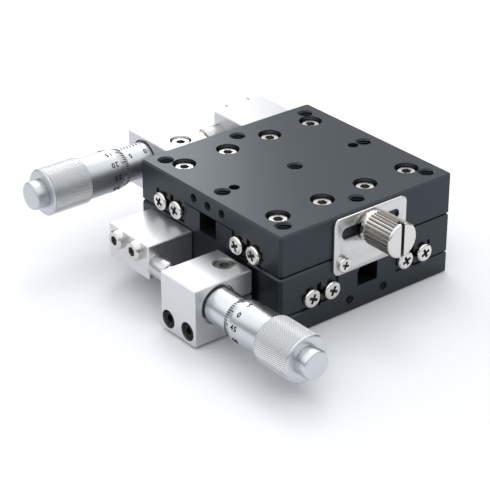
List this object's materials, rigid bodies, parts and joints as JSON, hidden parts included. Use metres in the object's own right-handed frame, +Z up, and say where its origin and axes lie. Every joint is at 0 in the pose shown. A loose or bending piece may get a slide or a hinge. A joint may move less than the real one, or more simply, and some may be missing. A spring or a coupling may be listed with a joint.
{
  "type": "microscope translation stage",
  "caption": "Square two-axis microscope stage on crossed-roller guides, each axis driven by a micrometer head and spring and held by a slotted lock plate with a thumb knob.",
  "frame": {"origin": "centre of the base plate's underside", "axes": "+Z up through the table; +X is the way the table moves when the upper micrometer is screwed in; +Y is the way the middle carriage moves when the lower micrometer is screwed in"},
  "size_m": [0.1011, 0.1081, 0.03],
  "materials": {
    "black_anodised": "satin black anodised",
    "clear_anodised": "fine satin, clear anodised",
    "rail_steel": "hardened, dark oxide with ground grooves",
    "bearing_steel": "lapped",
    "cage_sheet": "stamped sheet",
    "stainless_screws": "bright stainless",
    "nickel_screws": "bright nickel plate",
    "black_oxide_screws": "black oxide",
    "spring_wire": "drawn wire",
    "satin_chrome": "satin chrome plate",
    "nut_brass": "turned",
    "lock_stainless": "brushed",
    "knob_nickel": "bright nickel plate"
  },
  "bodies": {
    "base": {"base_plate": "black_anodised", "lower_inner_rails": "rail_steel", "lower_inner_rail_screws": "stainless_screws", "lower_inner_end_screws": "nickel_screws", "lower_spring": "spring_wire", "lower_spring_post": "bearing_steel", "lower_micrometer_block": "clear_anodised", "lower_block_mount_screws": "black_oxide_screws", "lower_block_clamp_screw": "stainless_screws", "lower_micrometer_sleeve": "satin_chrome", "lower_thread_nut": "nut_brass", "lower_lock_plate": "lock_stainless", "lower_lock_plate_screws": "nickel_screws"},
    "lower_cages": {"lower_roller_cages": "cage_sheet", "lower_rollers": "bearing_steel"},
    "lower_spindle": {"lower_spindle": "bearing_steel"},
    "lower_thimble": {"lower_thimble": "satin_chrome", "lower_thimble_cap": "satin_chrome"},
    "middle": {"middle_plate": "black_anodised", "lower_outer_rails": "rail_steel", "lower_outer_rail_screws": "stainless_screws", "lower_outer_end_screws": "nickel_screws", "lower_spring_anchor": "bearing_steel", "lower_anvil_bracket": "clear_anodised", "lower_anvil_pin": "bearing_steel", "lower_anvil_bracket_screws": "stainless_screws", "upper_inner_rails": "rail_steel", "upper_inner_rail_screws": "stainless_screws", "upper_inner_end_screws": "nickel_screws", "upper_spring": "spring_wire", "upper_spring_post": "bearing_steel", "upper_micrometer_block": "clear_anodised", "upper_block_mount_screws": "black_oxide_screws", "upper_block_clamp_screw": "stainless_screws", "upper_micrometer_sleeve": "satin_chrome", "upper_thread_nut": "nut_brass", "upper_lock_plate": "lock_stainless", "upper_lock_plate_screws": "nickel_screws"},
    "lower_lock_washer": {"lower_lock_washer": "nickel_screws"},
    "lower_lock_knob": {"lower_lock_knob": "knob_nickel"},
    "upper_cages": {"upper_roller_cages": "cage_sheet", "upper_rollers": "bearing_steel"},
    "upper_spindle": {"upper_spindle": "bearing_steel"},
    "upper_thimble": {"upper_thimble": "satin_chrome", "upper_thimble_cap": "satin_chrome"},
    "top": {"top_plate": "black_anodised", "upper_outer_rails": "rail_steel", "upper_outer_rail_screws": "stainless_screws", "upper_outer_end_screws": "nickel_screws", "upper_spring_anchor": "bearing_steel", "upper_anvil_bracket": "clear_anodised", "upper_anvil_pin": "bearing_steel", "upper_anvil_bracket_screws": "stainless_screws"},
    "upper_lock_washer": {"upper_lock_washer": "nickel_screws"},
    "upper_lock_knob": {"upper_lock_knob": "knob_nickel"}
  },
  "joints": [
    {"name": "lower_thimble_turn", "type": "hinge", "parent": "lower_spindle", "child": "lower_thimble", "pos_m": [-0.042, -0.04, 0.0109], "axis": [0, 1, 0], "range_deg": [-4684, 4684]},
    {"name": "lower_spindle_slide", "type": "slide", "parent": "base", "child": "lower_spindle", "axis": [0, 1, 0], "range_m": [-0.00651, 0.00651]},
    {"name": "lower_stage_slide", "type": "slide", "parent": "base", "child": "middle", "axis": [0, 1, 0], "range_m": [-0.0065, 0.0065], "deforming": ["lower_spring"]},
    {"name": "lower_cage_slide", "type": "slide", "parent": "base", "child": "lower_cages", "axis": [0, 1, 0], "range_m": [-0.00326, 0.00326]},
    {"name": "lower_lock_turn", "type": "hinge", "parent": "lower_lock_washer", "child": "lower_lock_knob", "pos_m": [0.037, 0, 0.0125], "axis": [1, 0, 0], "range_deg": [0, 361]},
    {"name": "lower_lock_washer_slide", "type": "slide", "parent": "middle", "child": "lower_lock_washer", "axis": [1, 0, 0], "range_m": [0, 0.0005]},
    {"name": "upper_thimble_turn", "type": "hinge", "parent": "upper_spindle", "child": "upper_thimble", "pos_m": [-0.04, 0.042, 0.0226], "axis": [1, 0, 0], "range_deg": [-4684, 4684]},
    {"name": "upper_spindle_slide", "type": "slide", "parent": "middle", "child": "upper_spindle", "axis": [1, 0, 0], "range_m": [-0.00651, 0.00651]},
    {"name": "upper_stage_slide", "type": "slide", "parent": "middle", "child": "top", "axis": [1, 0, 0], "range_m": [-0.0065, 0.0065], "deforming": ["upper_spring"]},
    {"name": "upper_cage_slide", "type": "slide", "parent": "middle", "child": "upper_cages", "axis": [1, 0, 0], "range_m": [-0.00326, 0.00326]},
    {"name": "upper_lock_turn", "type": "hinge", "parent": "upper_lock_washer", "child": "upper_lock_knob", "pos_m": [0, -0.037, 0.0246], "axis": [0, -1, 0], "range_deg": [0, 361]},
    {"name": "upper_lock_washer_slide", "type": "slide", "parent": "top", "child": "upper_lock_washer", "axis": [0, -1, 0], "range_m": [0, 0.0005]}
  ],
  "couplings": [
    {"joint": "lower_thimble_turn", "follows": "lower_stage_slide", "rad_per_m": 12566},
    {"joint": "lower_spindle_slide", "follows": "lower_stage_slide", "ratio": 1},
    {"joint": "lower_cage_slide", "follows": "lower_stage_slide", "ratio": 0.5},
    {"joint": "lower_lock_turn", "follows": "lower_lock_washer_slide", "rad_per_m": 12566},
    {"joint": "upper_thimble_turn", "follows": "upper_stage_slide", "rad_per_m": 12566},
    {"joint": "upper_spindle_slide", "follows": "upper_stage_slide", "ratio": 1},
    {"joint": "upper_cage_slide", "follows": "upper_stage_slide", "ratio": 0.5},
    {"joint": "upper_lock_turn", "follows": "upper_lock_washer_slide", "rad_per_m": 12566}
  ]
}
